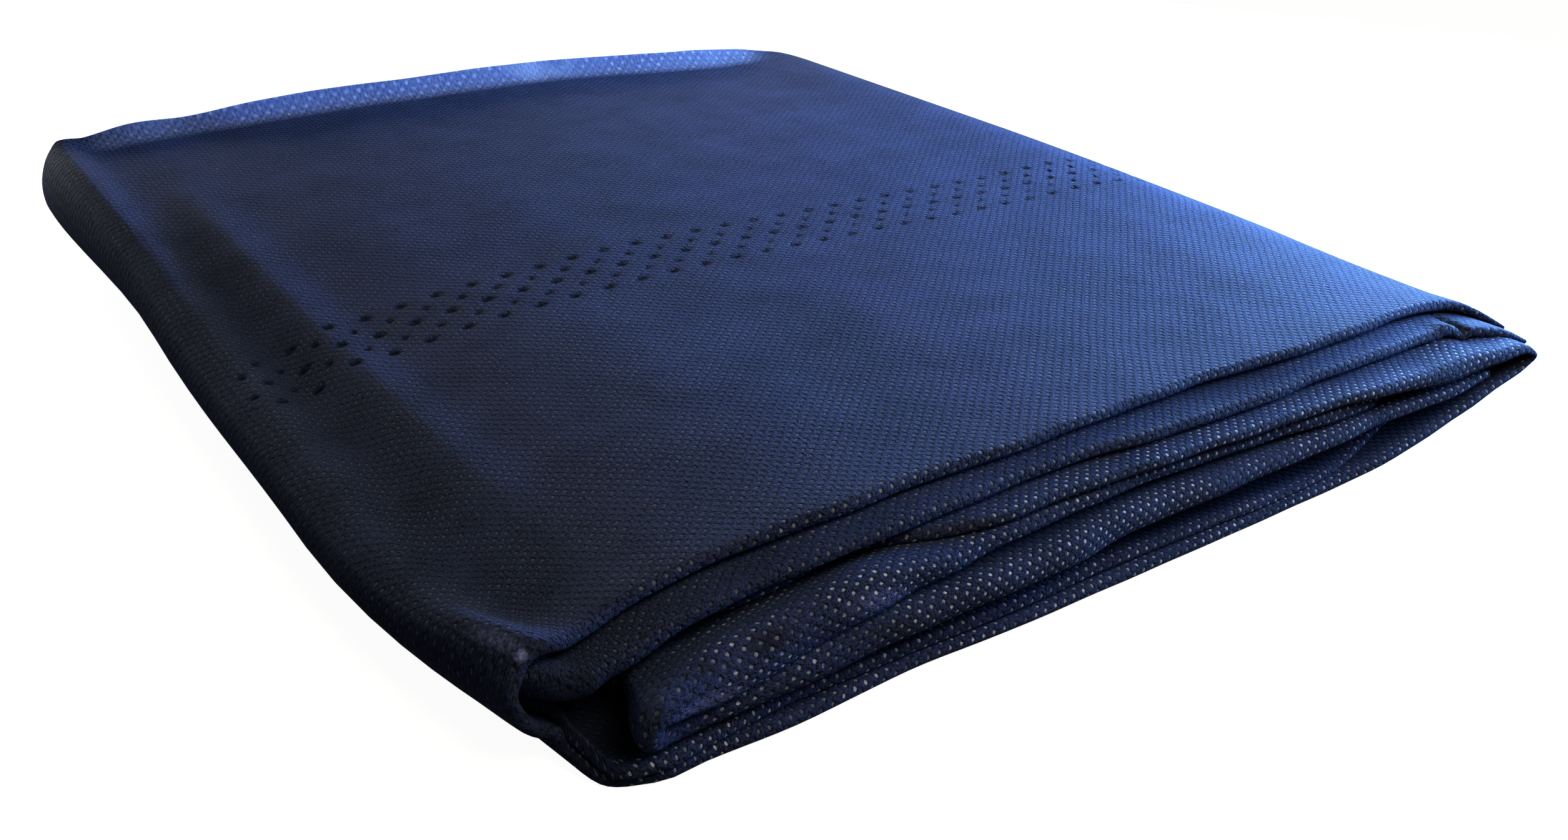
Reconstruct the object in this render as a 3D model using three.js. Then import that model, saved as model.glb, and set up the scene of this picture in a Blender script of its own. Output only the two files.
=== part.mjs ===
// Disposable blanket: one large nonwoven sheet, folded lengthwise into a strip of four plies,
// then rolled up flat, crosswise, in four levels. Sizes in mm.
// X runs along the front, Y from the front to the back, Z up; z = 0 is the table.
import * as THREE from 'three';

// Sheet and plies
const SHEET = 1.0;
const PLY_STEP = 1.45;
const PLY_LEVELS = [1.5, 0.5, -0.5, -1.5];
const STRIP_HALF = 1.5 * PLY_STEP + SHEET / 2;

// Run of each ply from its front fold to the back
const TOP_PLY_RUN = 286;
const BACK_FOLD_RUN = 291;
const LAST_PLY_RUN = 293;

// Raised free edge of the top ply along the back
const LIP_WIDTH = 11;
const LIP_LEAN = 0.45;
const LIP_RISE = 8;

// Middle of the folded blanket, from the near left corner of its top
const CENTRE_X = 119.45;
const CENTRE_Y = 148.05;

// Depth of the shift at the front corner, its share the other way at the back corner,
// and how far the left end is held up there
const CORNER_DEPTH = 80;
const BACK_SHARE = 0.6;
const HELD_UP = 0.42;

// Fineness
const TURN_PER_CUT = 0.5;
const LONGEST_CUT = 34;
const FOLD_CUTS = 4;
const PLY_ACROSS = [18, 34, 60, 150, 212, 270];
const LIP_CUTS = 3;

const NAVY = 0x26386e;

// The strip's middle line, from its loose end on top to its inner end.
// x, z: middle of the strip; corner: shift along X at the front corner;
// foldA: front fold of plies 1 and 2; foldB: of plies 3 and 4; lip: share of the full lip.
const COLUMNS = ['x', 'z', 'corner', 'foldA', 'foldB', 'lip'];
const STRIP = [
  // top level, right to left
  [258, 25.6, 0, 13.0, -2.0, 0],
  [246, 27.2, 0, 13.0, -1.0, 0.3],
  [228, 28.4, 0, 12.0, 2.6, 0.75],
  [200, 28.6, 0, 11.7, 4.1, 1.0],
  [165, 28.3, 0, 11.6, 4.2, 1.1],
  [125, 29.1, 0, 11.5, 4.2, 1.15],
  [90, 28.6, 0, 11.4, 4.0, 1.15],
  [65, 27.7, 0, 11.2, 3.2, 1.1],
  [45, 25.6, 0, 10.5, 1.5, 1.0],
  [27, 23.0, 0, 9.0, -0.5, 0.75],
  [12, 20.2, 2, 7.5, -0.5, 0.45],
  [0, 16.9, 8.5, 7.0, 0.5, 0.2],
  // outer turn at the left end
  [-7.5, 15.2, 12, 6.5, 1.0, 0.05],
  [-9.7, 13.6, 12, 6.0, 1.0, 0],
  [-10.4, 11.4, 12.5, 5.0, 0.5, 0],
  [-9.5, 8.9, 13, 3.5, 0, 0],
  [-7.8, 7.7, 13.5, 2.5, -0.5, 0],
  [-1.5, 5.4, 13, -1.0, -1.5, 0],
  // bottom level, left to right
  [9, 3.6, 9, -5.0, -3.4, 0],
  [24, STRIP_HALF, 4, -7.0, -4.4, 0],
  [50, STRIP_HALF, 0, -5.0, -3.5, 0],
  [80, STRIP_HALF, 0, -3.8, -3.0, 0],
  [115, STRIP_HALF, 0, -3.0, -1.5, 0],
  [150, STRIP_HALF, 0, -2.0, -1.6, 0],
  [178, STRIP_HALF, 0, -1.0, -2.0, 0],
  [192, 3.1, 0, -0.6, -1.6, 0],
  [209, 5.0, 0, 0, 0, 0],
  [228, 8.1, 0, -1.5, 0.6, 0],
  [244, 10.7, 0, -2.2, 0, 0],
  // right turn
  [254.3, 12.8, 0, -2.0, -1.6, 0],
  [256.1, 14.0, 0, -2.6, -2.2, 0],
  [256.8, 16.0, 0, -3.0, -2.5, 0],
  [256.1, 18.0, 0, -2.8, -2.4, 0],
  [254.1, 19.3, 0, -2.2, -2.2, 0],
  // second level, right to left
  [240, 20.4, 0, 0.5, -0.6, 0],
  [226, 21.2, 0, 4.0, 1.8, 0],
  [200, 21.6, 0, 4.0, 1.7, 0],
  [163, 21.3, 0, 4.2, 1.4, 0],
  [124, 22.0, 0, 2.2, 0.9, 0],
  [91, 21.5, 0, 1.5, -1.2, 0],
  [68, 20.3, 0, 0, -4.2, 0],
  [48, 18.2, -2, -3.0, -6.5, 0],
  [34, 16.3, -4, -6.5, -11.0, 0],
  [25.2, 15.4, -5, -8.5, -13.0, 0],
  // inner turn at the left end
  [23.1, 14.3, -5, -9.0, -13.4, 0],
  [22.3, 12.3, -5, -9.0, -13.2, 0],
  [23.1, 10.3, -5, -9.0, -12.6, 0],
  [25.2, 9.2, -5, -8.8, -11.8, 0],
  // third level, left to right
  [34, 9.4, -4, -8.2, -8.8, 0],
  [46, 10.5, -2, -7.4, -6.4, 0],
  [66, 12.0, 0, -6.4, -4.6, 0],
  [90, 13.2, 0, -5.0, -3.4, 0],
  [125, 14.0, 0, -3.2, -2.0, 0],
  [146, 14.3, 0, -0.4, 0, 0],
  [185, 14.6, 0, 1.3, 1.6, 0],
  [214, 14.9, 0, 4.0, 5.0, 0],
].map((row) => Object.fromEntries(COLUMNS.map((name, i) => [name, row[i]])));

function smooth(from, to, v) {
  const u = Math.min(1, Math.max(0, (v - from) / (to - from)));
  return u * u * (3 - 2 * u);
}

// Distance along the middle line at each row
const along = [0];
for (let i = 1; i < STRIP.length; i++) {
  const step = Math.hypot(STRIP[i].x - STRIP[i - 1].x, STRIP[i].z - STRIP[i - 1].z);
  along.push(along[i - 1] + step);
}

function slopeAt(name, i) {
  const last = STRIP.length - 1;
  const rise = (a, b) => (STRIP[b][name] - STRIP[a][name]) / (along[b] - along[a]);
  if (i === 0) return rise(0, 1);
  if (i === last) return rise(last - 1, last);
  const before = along[i] - along[i - 1];
  const after = along[i + 1] - along[i];
  return (rise(i - 1, i) * after + rise(i, i + 1) * before) / (before + after);
}

// Smooth value of a column, a share u of the way from row i to the next
function blend(name, i, u) {
  const span = along[i + 1] - along[i];
  const a = STRIP[i][name];
  const b = STRIP[i + 1][name];
  const ma = slopeAt(name, i) * span;
  const mb = slopeAt(name, i + 1) * span;
  const u2 = u * u;
  const u3 = u2 * u;
  return a * (2 * u3 - 3 * u2 + 1) + ma * (u3 - 2 * u2 + u) + b * (3 * u2 - 2 * u3) + mb * (u3 - u2);
}

function heading(i, u) {
  const e = 0.01;
  const u0 = Math.max(0, u - e);
  const u1 = Math.min(1, u + e);
  return new THREE.Vector2(blend('x', i, u1) - blend('x', i, u0), blend('z', i, u1) - blend('z', i, u0)).normalize();
}

function stationAt(i, u) {
  const station = Object.fromEntries(COLUMNS.map((name) => [name, blend(name, i, u)]));
  station.dir = heading(i, u);
  return station;
}

// Cross sections along the strip, closer together where it turns
function stations() {
  const list = [];
  for (let i = 0; i < STRIP.length - 1; i++) {
    const turn = Math.abs(heading(i, 0).angleTo(heading(i, 1)));
    const cuts = Math.max(1, Math.round(turn / TURN_PER_CUT), Math.ceil((along[i + 1] - along[i]) / LONGEST_CUT));
    for (let c = 0; c < cuts; c++) list.push(stationAt(i, c / cuts));
  }
  list.push(stationAt(STRIP.length - 2, 1));
  return list;
}

// Zigzag of the four plies across the strip: points of y and offset from the strip's middle
function plies(station) {
  const points = [];
  const topEdge = station.foldA + TOP_PLY_RUN;
  const backFold = station.foldA + BACK_FOLD_RUN;
  const lastEdge = station.foldB + LAST_PLY_RUN;
  const level = (i) => PLY_LEVELS[i] * PLY_STEP;
  const flat = (places, i) => places.forEach((y) => points.push([y, level(i)]));
  const fold = (y, i, side) => {
    const r = PLY_STEP / 2;
    for (let c = 0; c <= FOLD_CUTS; c++) {
      const a = (Math.PI * c) / FOLD_CUTS;
      points.push([y + side * r * (Math.sin(a) - 1), (level(i) + level(i + 1)) / 2 + r * Math.cos(a)]);
    }
  };
  for (let c = LIP_CUTS; c > 0; c--) {
    const u = c / LIP_CUTS;
    const rise = station.lip * LIP_RISE * u * u;
    points.push([topEdge + LIP_WIDTH * (u - LIP_LEAN * station.lip * u * u), level(0) + rise]);
  }
  const backToFront = [...PLY_ACROSS].reverse();
  flat([topEdge, ...backToFront], 0);
  fold(station.foldA, 0, -1);
  flat(PLY_ACROSS, 1);
  fold(backFold, 1, 1);
  flat(backToFront, 2);
  fold(station.foldB, 2, -1);
  flat([...PLY_ACROSS, lastEdge], 3);
  return points;
}

// Place of a point of the strip's cross section in the part
function place(station, y, offset) {
  const x = station.x + station.dir.y * offset;
  const z = station.z - station.dir.x * offset;
  const drawn = station.corner * (1 - smooth(0, CORNER_DEPTH, y) - BACK_SHARE * smooth(120, 300, y));
  const held = 1 + HELD_UP * smooth(150, 285, y) * (1 - smooth(-12, 65, x));
  return new THREE.Vector3(x + drawn - CENTRE_X, y - CENTRE_Y, z * held);
}

// Closed skin of a sheet around its middle surface
function sheetAround(grid) {
  const rows = grid.length;
  const cols = grid[0].length;
  const at = (i, j) => grid[Math.min(rows - 1, Math.max(0, i))][Math.min(cols - 1, Math.max(0, j))];
  const corners = [];
  for (const side of [1, -1]) {
    for (let i = 0; i < rows; i++) {
      for (let j = 0; j < cols; j++) {
        const ds = at(i + 1, j).clone().sub(at(i - 1, j)).normalize();
        const dt = at(i, j + 1).clone().sub(at(i, j - 1)).normalize();
        const out = ds.cross(dt).normalize().multiplyScalar((side * SHEET) / 2);
        const p = at(i, j).clone().add(out);
        if (p.z < 0.08) p.z = 0;
        corners.push(p.x, p.y, p.z);
      }
    }
  }
  const id = (side, i, j) => side * rows * cols + i * cols + j;
  const faces = [];
  const quad = (a, b, c, d) => faces.push(a, b, c, a, c, d);
  // Plies that run back to front are split the other way, so that stacked plies lie alike
  const cell = (i, j, a, b, c, d) => (at(i, j + 1).y > at(i, j).y ? quad(a, b, c, d) : quad(b, c, d, a));
  for (let i = 0; i < rows - 1; i++) {
    for (let j = 0; j < cols - 1; j++) {
      cell(i, j, id(0, i, j), id(0, i + 1, j), id(0, i + 1, j + 1), id(0, i, j + 1));
      cell(i, j, id(1, i, j), id(1, i, j + 1), id(1, i + 1, j + 1), id(1, i + 1, j));
    }
  }
  for (let i = 0; i < rows - 1; i++) {
    quad(id(0, i, 0), id(1, i, 0), id(1, i + 1, 0), id(0, i + 1, 0));
    quad(id(0, i + 1, cols - 1), id(1, i + 1, cols - 1), id(1, i, cols - 1), id(0, i, cols - 1));
  }
  for (let j = 0; j < cols - 1; j++) {
    quad(id(0, 0, j + 1), id(1, 0, j + 1), id(1, 0, j), id(0, 0, j));
    quad(id(0, rows - 1, j), id(1, rows - 1, j), id(1, rows - 1, j + 1), id(0, rows - 1, j + 1));
  }
  const geometry = new THREE.BufferGeometry();
  geometry.setAttribute('position', new THREE.Float32BufferAttribute(corners, 3));
  geometry.setIndex(faces);
  geometry.computeVertexNormals();
  return geometry;
}

const grid = stations().map((station) => plies(station).map(([y, offset]) => place(station, y, offset)));
const blanket = new THREE.Mesh(
  sheetAround(grid),
  new THREE.MeshStandardMaterial({ color: NAVY, roughness: 0.85, metalness: 0 }),
);
blanket.name = 'blanket';

const group = new THREE.Group();
group.name = 'disposable_blanket';
group.add(blanket);
export default group;
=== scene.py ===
# Folded disposable blanket: one navy nonwoven sheet, doubled lengthwise and rolled up flat,
# on a pale floor. Sizes in mm until the mesh is made.
import math

import bpy
import numpy as np
from mathutils import Matrix, Vector


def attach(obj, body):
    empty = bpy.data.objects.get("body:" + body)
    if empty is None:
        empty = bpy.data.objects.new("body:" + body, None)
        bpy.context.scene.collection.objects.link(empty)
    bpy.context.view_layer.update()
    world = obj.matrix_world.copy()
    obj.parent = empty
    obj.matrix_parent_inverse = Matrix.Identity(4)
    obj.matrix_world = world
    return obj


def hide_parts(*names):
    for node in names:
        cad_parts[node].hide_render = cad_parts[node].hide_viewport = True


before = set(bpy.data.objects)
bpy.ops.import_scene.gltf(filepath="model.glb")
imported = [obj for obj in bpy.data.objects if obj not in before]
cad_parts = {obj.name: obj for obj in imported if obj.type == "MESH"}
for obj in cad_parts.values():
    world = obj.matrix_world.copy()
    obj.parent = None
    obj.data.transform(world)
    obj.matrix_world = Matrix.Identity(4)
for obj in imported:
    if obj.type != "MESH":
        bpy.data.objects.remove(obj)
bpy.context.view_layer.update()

MM = 0.001

# Bond dots of the web and larger marks of its free edge
DOT_PITCH = 0.0026
EDGE_PITCH = (0.004, 0.0042)

# Colours of the sheet
DARK_WEB = (0.007, 0.009, 0.02, 1)
LIGHT_WEB = (0.036, 0.05, 0.13, 1)
# Bond dots painted pale: painted glint of their gloss
DOT_GLINT_COLOUR = (0.7, 0.79, 0.95, 1)
# Free edge painted paler as if lit from behind through the thin ply, its marks paler still
BACKLIT_EDGE_WEB = (0.19, 0.22, 0.34, 1)
BACKLIT_EDGE_MARK = (0.44, 0.48, 0.6, 1)
# Painted shade in the pits of the pressed band
PIT_SHADE_COLOUR = (0.004, 0.005, 0.009, 1)
# Painted shade inside the folds
INSIDE_SHADE_COLOUR = (0.004, 0.005, 0.012, 1)
# Painted highlight: bluish sheen
PAINTED_HIGHLIGHT = (0.36, 0.42, 1.0, 1)
STAIN = (0.012, 0.009, 0.008, 1)

# Streaks of the web, turn in degrees, length and width in metres: short fibres and long single hairs
FIBRES = ((27, 0.0013, 0.0003), (-38, 0.0011, 0.00028))
HAIRS = ((34, 0.007, 0.00022), (-29, 0.008, 0.0002))
HAIR_RANGE, HAIR_SHARE = (0.7, 0.8), 0.35

# Grain of the web, per metre and with its depth of detail: fuzz, clouds, patches of clear dots,
# clouds of the free edge, and the wobble of the dots' rows
FUZZ = (1900, 2)
CLOUD = (55, 4)
PATCH = (75, 3)
EDGE_CLOUD = (45, 2)
WOBBLE = (170, 1)
GRAIN_ROUGHNESS = 0.55

# Shares of fibre, fuzz, cloud and quilting in the web's lightness, and the range from dark to light.
# The web swells between the dots like a quilt, and the quilting's share paints shade into the dimples round
# the dots.
FIBRE_SHARE, FUZZ_SHARE, CLOUD_SHARE, QUILT_SHADE_SHARE = 0.45, 0.45, 0.22, 0.08
WEB_RANGE = (0.49, 0.74)
QUILT_RANGE, QUILT_RISE = (0.08, 0.45), 0.7
RELIEF_STRENGTH, RELIEF_HEIGHT = 0.9, 0.0004

# Bond dots, in cells of their lattice: wobble, raggedness and edge; least shares of a dot,
# of a patch of dots and of the dots' painted glint away from the front folds
DOT_WOBBLE = 0.22
DOT_RAGGED, DOT_TRIM = 0.18, 0.09
DOT_EDGE = (0.2, 0.105)
DOT_LEAST = 0.6
PATCH_RANGE, PATCH_LEAST = (0.38, 0.56), 0.25
DOT_GLINT_LEAST = 0.15

# Marks of the free edge, in cells of their lattice: wobble, edge, and least and most shares;
# how much its clouds and the web show through
EDGE_WOBBLE = 0.1
MARK_EDGE = (0.3, 0.12)
MARK_LEAST, MARK_MOST = 0.3, 0.9
EDGE_CLOUD_RANGE, EDGE_CLOUD_MOST = (0.55, 0.75), 0.6
EDGE_RANGE, EDGE_LEAST = (0.35, 0.6), 0.75

# Gloss of the sheet, and the light that passes through its free edge
SHEET_SHADER = {
    "Subsurface Radius": (0.4, 0.6, 1.0),
    "Subsurface Scale": 0.002,
    "Roughness": 0.75,
    "Specular IOR Level": 0.08,
    "Sheen Weight": 0.1,
    "Sheen Roughness": 0.45,
    "Sheen Tint": (0.2, 0.4, 1.0, 1),
}

# Painted bluish highlights and stains of the sheet: middle along and across it, turn in degrees, half sizes
# and share.
# Each is full in its core, and the web's lightness breaks it up.
SPOT_CORE = 0.2
FLUFF_RANGE, FLUFF_LEAST = (0.5, 0.72), 0.35
SPOT_COLUMNS = ("along", "across", "turn", "long", "wide", "share")
# Painted highlights: on the ridge at the near left corner with a bright spot at its end, and on two spots
# further along the strip
HIGHLIGHT_SPOTS = (
    (271.4, 15, 80, 9, 1.6, 0.3),
    (270.9, 9.3, 80, 1.5, 1, 1),
    (784, -596, 0, 9, 2.2, 0.3),
    (751, -592, 8, 12, 3, 0.18),
)
STAINS = (
    (157.6, 71.7, 20, 4, 1.6, 0.7),
    (771.3, -590.4, 0, 5, 3, 0.75),
    (757.8, -591.3, 0, 5, 2.6, 0.7),
    (782.6, -590.1, 0, 4, 3, 0.75),
)

# Thickness of the sheet, half the height of the strip, levels of its four plies, and the flat size in metres
SHEET = 0.5
STRIP_HALF = 2.675
PLY_LEVELS = (1.5, 0.5, -0.5, -1.5)
PLY_STEP = (STRIP_HALF - SHEET / 2) / PLY_LEVELS[0]

# Run of each ply from its front fold to the back. The last one's free edge follows its fold only so far.
TOP_PLY_RUN = 286
BACK_FOLD_RUN = 291
LAST_PLY_RUN = 293
LAST_FOLD_MAX = 2

# How far back a ply follows its front fold, and from where it follows its back edge
FRONT_REACH = 60
BACK_REACH = 200

# Raised free edge of the top ply along the back, and how soon it turns sheer and pale: painted paler as if
# lit from behind
LIP_WIDTH = 11
LIP_LEAN = 0.45
LIP_RISE = 8
SHEER_GAIN = 2.2
SHEER_LIP = (0.1, 0.6)

# Middle of the folded blanket, from the near left corner of its top
CENTRE_X = 119.45
CENTRE_Y = 148.05

# Shift of the left end: depth and limit at the front corner, tail further back,
# and share the other way at the back corner, each with the depths between which it fades
CORNER_DEPTH, CORNER_MAX = 85, 1.1
CORNER_TAIL, TAIL_FROM, TAIL_TO = 0.13, 80, 185
BACK_SHARE, BACK_FROM, BACK_TO = 0.35, 200, 300

# How much the left end and the rest of the back are held up, and the depths and places between which it fades
HELD_FROM, HELD_TO = 130, 300
HELD_LEFT, HELD_AT, HELD_FADE = 0.72, -8, 22
HELD_BACK, HELD_BACK_FROM, HELD_BACK_TO = 0.11, 150, 240

# Loose end: droop of its front corner per mm squared, with the place from which, the depths and the heights
# between which it fades; how far it stands up behind, over what run of the strip and between which depths
END_DROOP, END_FROM = 0.012, 250
DROOP_FROM, DROOP_TO = 20, 90
DROOP_LOW, DROOP_HIGH = 18, 24
END_RISE, END_RUN = 4.1, 48
RISE_FROM, RISE_TO = -30, 200

# Depth behind a front fold over which its two plies close up, and the fold's own roundness
NOSE_DEPTH = 12
NOSE_ROUND = 0.8

# Fineness of the mesh: steps along the strip, turns in radians, and lines across it.
# The dent near the loose end and the near left corner are finer: from, to and step.
SAMPLES_ALONG = 9000
HEADING_STEP = 0.05
STEP_ALONG = 4.3
TURN_ALONG = 0.2
FINE_STRETCHES = ((17, 38, 0.9), (236, 300, 1.7))
SHARP_DEGREES = 65
LIP_CUTS = 7
FOLD_CUTS = 9
BACK_FOLD_CUTS = 5
RUN = 290
TOP_LINES = (0, 0.6, 1.5, 3, 5, 8, 12, 18, 27, 39, 52, 66, 80, 94, 107, 115,
             119, 123, 127, 131, 135, 139, 143, 147, 151, 162, 178, 195, 212, 229, 246, 261, 273, 282, 290)
INNER_LINES = (0, 1.2, 3, 5.5, 8.5, 12, 18, 30, 48, 72, 100, 135, 170, 205, 236, 262, 280, 290)
BAND_CUTS = 4

# Pressed band of pits across the top ply: its lines, the row of the strip's table where its finer mesh ends,
# and the pits' places, sizes, depth and soft rim
BAND_FROM, BAND_TO = 119, 151
BAND_ROW = 18
PIT_FIRST_S, PIT_FIRST_Y = 292.25, 123.5
PIT_PITCH = 8.85
PIT_COLUMNS = 33
PIT_LAST_S = 270.5
PIT_STEP = (4.65, 5.4)
PIT_SIZES = ((1.6, 1.25), (0.95, 1.0), (1.6, 1.25), (0.95, 1.0), (1.6, 1.25))
PIT_DEPTH = 0.42
PIT_RIM = (0.55, 1.25)

# Shares that each point of the sheet has of its marks: pits, sheer free edge, painted glint of the bond dots
# and painted shade inside the folds
MARKS = ("pit", "sheer", "dot_glint", "inside")

# Painted glint of the bond dots along the strip, strongest near the front folds: share at its two front folds
# and how far back it reaches, and how far behind a fold the painted shade inside the fold begins
DOT_CORE = 0.3
DOT_COLUMNS = ("along", "shareA", "shareB", "reach", "hidden")
DOTS = (
    (0, 0.4, 0.32, 2.6, 7),
    (225, 0.36, 0.3, 2.6, 7),
    (248, 0.06, 0.06, 4, 6),
    (288, 0.06, 0.06, 4, 4),
    (302, 0.8, 0.9, 3.5, 0.8),
    (540, 0.8, 0.9, 3.5, 0.8),
    (556, 0.9, 0.9, 10, 1.5),
    (610, 0.9, 0.7, 10, 8),
    (632, 1, 0.4, 8, 8),
    (712, 1, 0.4, 8, 8),
    (728, 1, 1, 7, 12),
    (775, 1, 1, 7, 12),
    (785, 1, 0.2, 10, 12),
    (802, 1, 0.2, 10, 9),
    (814, 1, 1, 10, 2.5),
    (1020, 1, 1, 10, 2.5),
)

# Painted shade inside the folds: the web is painted darker behind each front fold, over how far it darkens,
# how far it stays so, and its share
INSIDE_FADE = 3
INSIDE_TO, INSIDE_END = 235, 270
INSIDE_SHADE_SHARE = 0.85

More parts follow.
